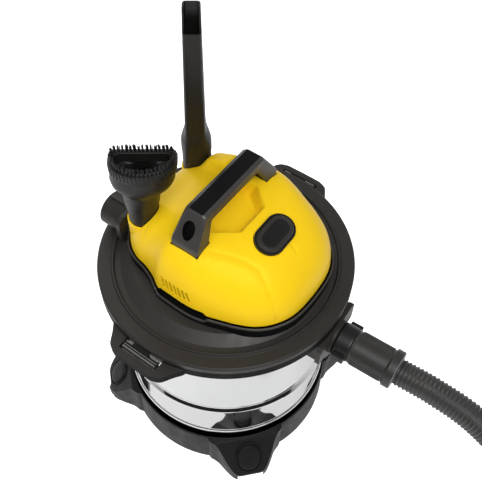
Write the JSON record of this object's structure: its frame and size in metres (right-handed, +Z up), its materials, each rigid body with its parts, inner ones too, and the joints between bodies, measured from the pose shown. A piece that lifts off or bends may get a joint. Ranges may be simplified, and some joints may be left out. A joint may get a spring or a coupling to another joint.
{
  "type": "shop vacuum",
  "caption": "Wet and dry shop vacuum: steel drum on castors, lift-off motor head with carrying handle, blower port, stowed nozzles and a suction hose with a bent hand grip.",
  "frame": {"origin": "on the floor, under the drum's axis", "axes": "+Z up; -Y is the front, where the suction hose goes in; +Y is the rear, where the blower port points; X runs along the carrying handle from side grip to side grip"},
  "size_m": [0.6068, 0.8395, 0.69],
  "materials": {
    "polished_steel": "mirror-polished stainless steel",
    "dark_plastic": "satin dark grey moulded plastic",
    "yellow_plastic": "semi-gloss bright yellow moulded plastic",
    "black_plastic": "satin black moulded plastic",
    "wheel_plastic": "matte black plastic",
    "hose_plastic": "corrugated dark plastic",
    "zinc_steel": "zinc-plated steel",
    "cast_alloy": "pressed aluminium",
    "winding_copper": "enamelled copper winding on laminations",
    "soft_rubber": "matte",
    "bristle": "nylon bristle",
    "foam": "open-cell foam",
    "carbon": "pressed carbon",
    "white_plastic": "hollow moulded ball"
  },
  "bodies": {
    "tank": {"drum": "polished_steel", "drum_collar": "dark_plastic", "latch_pins": "zinc_steel", "inlet_socket": "dark_plastic", "inlet_deflector": "black_plastic", "wheel_base": "dark_plastic", "castor_caps": "black_plastic", "castor_stems": "zinc_steel", "base_screws": "zinc_steel", "hose_cuff": "black_plastic", "suction_hose": "hose_plastic", "hose_grip": "black_plastic"},
    "latch_left": {"latch_left": "black_plastic"},
    "latch_right": {"latch_right": "black_plastic"},
    "lid": {"lid_deck": "dark_plastic", "lid_gasket": "soft_rubber", "head_cover": "yellow_plastic", "carry_handle": "dark_plastic", "handle_screws": "zinc_steel", "switch_bezel": "black_plastic", "switch_body": "black_plastic", "switch_spring": "zinc_steel", "blower_port": "dark_plastic", "cable_gland": "soft_rubber", "motor_casing": "black_plastic", "casing_lid": "black_plastic", "acoustic_foam": "foam", "fan_cover": "zinc_steel", "motor_frame": "zinc_steel", "motor_stator": "winding_copper", "motor_bearings": "zinc_steel", "carbon_brushes": "carbon", "float_cage": "black_plastic", "filter_sleeve": "foam", "filter_ring": "dark_plastic"},
    "button": {"switch_button": "dark_plastic"},
    "rotor": {"fan_impeller": "cast_alloy", "motor_rotor": "winding_copper", "motor_shaft": "zinc_steel"},
    "float": {"float_ball": "white_plastic"},
    "crevice": {"crevice_nozzle": "black_plastic"},
    "brush": {"brush_nozzle": "black_plastic", "brush_bristles": "bristle"},
    "hose_lock": {"hose_lock_collar": "black_plastic"},
    "bleed": {"bleed_slider": "black_plastic"},
    "castor_1": {"castor_fork_1": "dark_plastic", "castor_axle_1": "zinc_steel"},
    "wheel_1": {"castor_wheel_1": "wheel_plastic"},
    "castor_2": {"castor_fork_2": "dark_plastic", "castor_axle_2": "zinc_steel"},
    "wheel_2": {"castor_wheel_2": "wheel_plastic"},
    "castor_3": {"castor_fork_3": "dark_plastic", "castor_axle_3": "zinc_steel"},
    "wheel_3": {"castor_wheel_3": "wheel_plastic"},
    "castor_4": {"castor_fork_4": "dark_plastic", "castor_axle_4": "zinc_steel"},
    "wheel_4": {"castor_wheel_4": "wheel_plastic"}
  },
  "joints": [
    {"name": "latch_left_swing", "type": "hinge", "parent": "tank", "child": "latch_left", "pos_m": [-0.187, 0, 0.341], "axis": [0, -1, 0], "range_deg": [0, 15]},
    {"name": "latch_right_swing", "type": "hinge", "parent": "tank", "child": "latch_right", "pos_m": [0.187, 0, 0.341], "axis": [0, 1, 0], "range_deg": [0, 15]},
    {"name": "lid_lift", "type": "slide", "parent": "tank", "child": "lid", "axis": [0, 0, 1], "range_m": [0, 0.2]},
    {"name": "switch_press", "type": "slide", "parent": "lid", "child": "button", "axis": [0, 0.309, -0.9511], "range_m": [0, 0.003], "stiffness_N_per_m": 400, "springref_m": -0.003},
    {"name": "fan_spin", "type": "hinge", "parent": "lid", "child": "rotor", "pos_m": [0, 0, 0.38], "axis": [0, 0, 1], "continuous": true},
    {"name": "float_rise", "type": "slide", "parent": "lid", "child": "float", "axis": [0, 0, 1], "range_m": [0, 0.064]},
    {"name": "crevice_pull", "type": "slide", "parent": "lid", "child": "crevice", "axis": [0, 0, 1], "range_m": [0, 0.06]},
    {"name": "brush_pull", "type": "slide", "parent": "lid", "child": "brush", "axis": [0, 0, 1], "range_m": [0, 0.06]},
    {"name": "hose_lock_turn", "type": "hinge", "parent": "tank", "child": "hose_lock", "pos_m": [0, 0, 0.309], "axis": [0.0349, -0.9994, 0], "range_deg": [0, 30]},
    {"name": "bleed_slide", "type": "slide", "parent": "tank", "child": "bleed", "axis": [0.5859, -0.8104, 0], "range_m": [0, 0.008]},
    {"name": "castor_1_swivel", "type": "hinge", "parent": "tank", "child": "castor_1", "pos_m": [0.12276, 0.13164, 0.04], "axis": [0, 0, 1], "continuous": true},
    {"name": "wheel_1_roll", "type": "hinge", "parent": "castor_1", "child": "wheel_1", "pos_m": [0.11007, 0.13756, 0.0165], "axis": [0.4226, 0.9063, 0], "continuous": true},
    {"name": "castor_2_swivel", "type": "hinge", "parent": "tank", "child": "castor_2", "pos_m": [-0.13164, 0.12276, 0.04], "axis": [0, 0, 1], "continuous": true},
    {"name": "wheel_2_roll", "type": "hinge", "parent": "castor_2", "child": "wheel_2", "pos_m": [-0.14433, 0.12868, 0.0165], "axis": [0.4226, 0.9063, 0], "continuous": true},
    {"name": "castor_3_swivel", "type": "hinge", "parent": "tank", "child": "castor_3", "pos_m": [-0.12276, -0.13164, 0.04], "axis": [0, 0, 1], "continuous": true},
    {"name": "wheel_3_roll", "type": "hinge", "parent": "castor_3", "child": "wheel_3", "pos_m": [-0.13545, -0.12573, 0.0165], "axis": [0.4226, 0.9063, 0], "continuous": true},
    {"name": "castor_4_swivel", "type": "hinge", "parent": "tank", "child": "castor_4", "pos_m": [0.13164, -0.12276, 0.04], "axis": [0, 0, 1], "continuous": true},
    {"name": "wheel_4_roll", "type": "hinge", "parent": "castor_4", "child": "wheel_4", "pos_m": [0.11896, -0.11684, 0.0165], "axis": [0.4226, 0.9063, 0], "continuous": true}
  ]
}
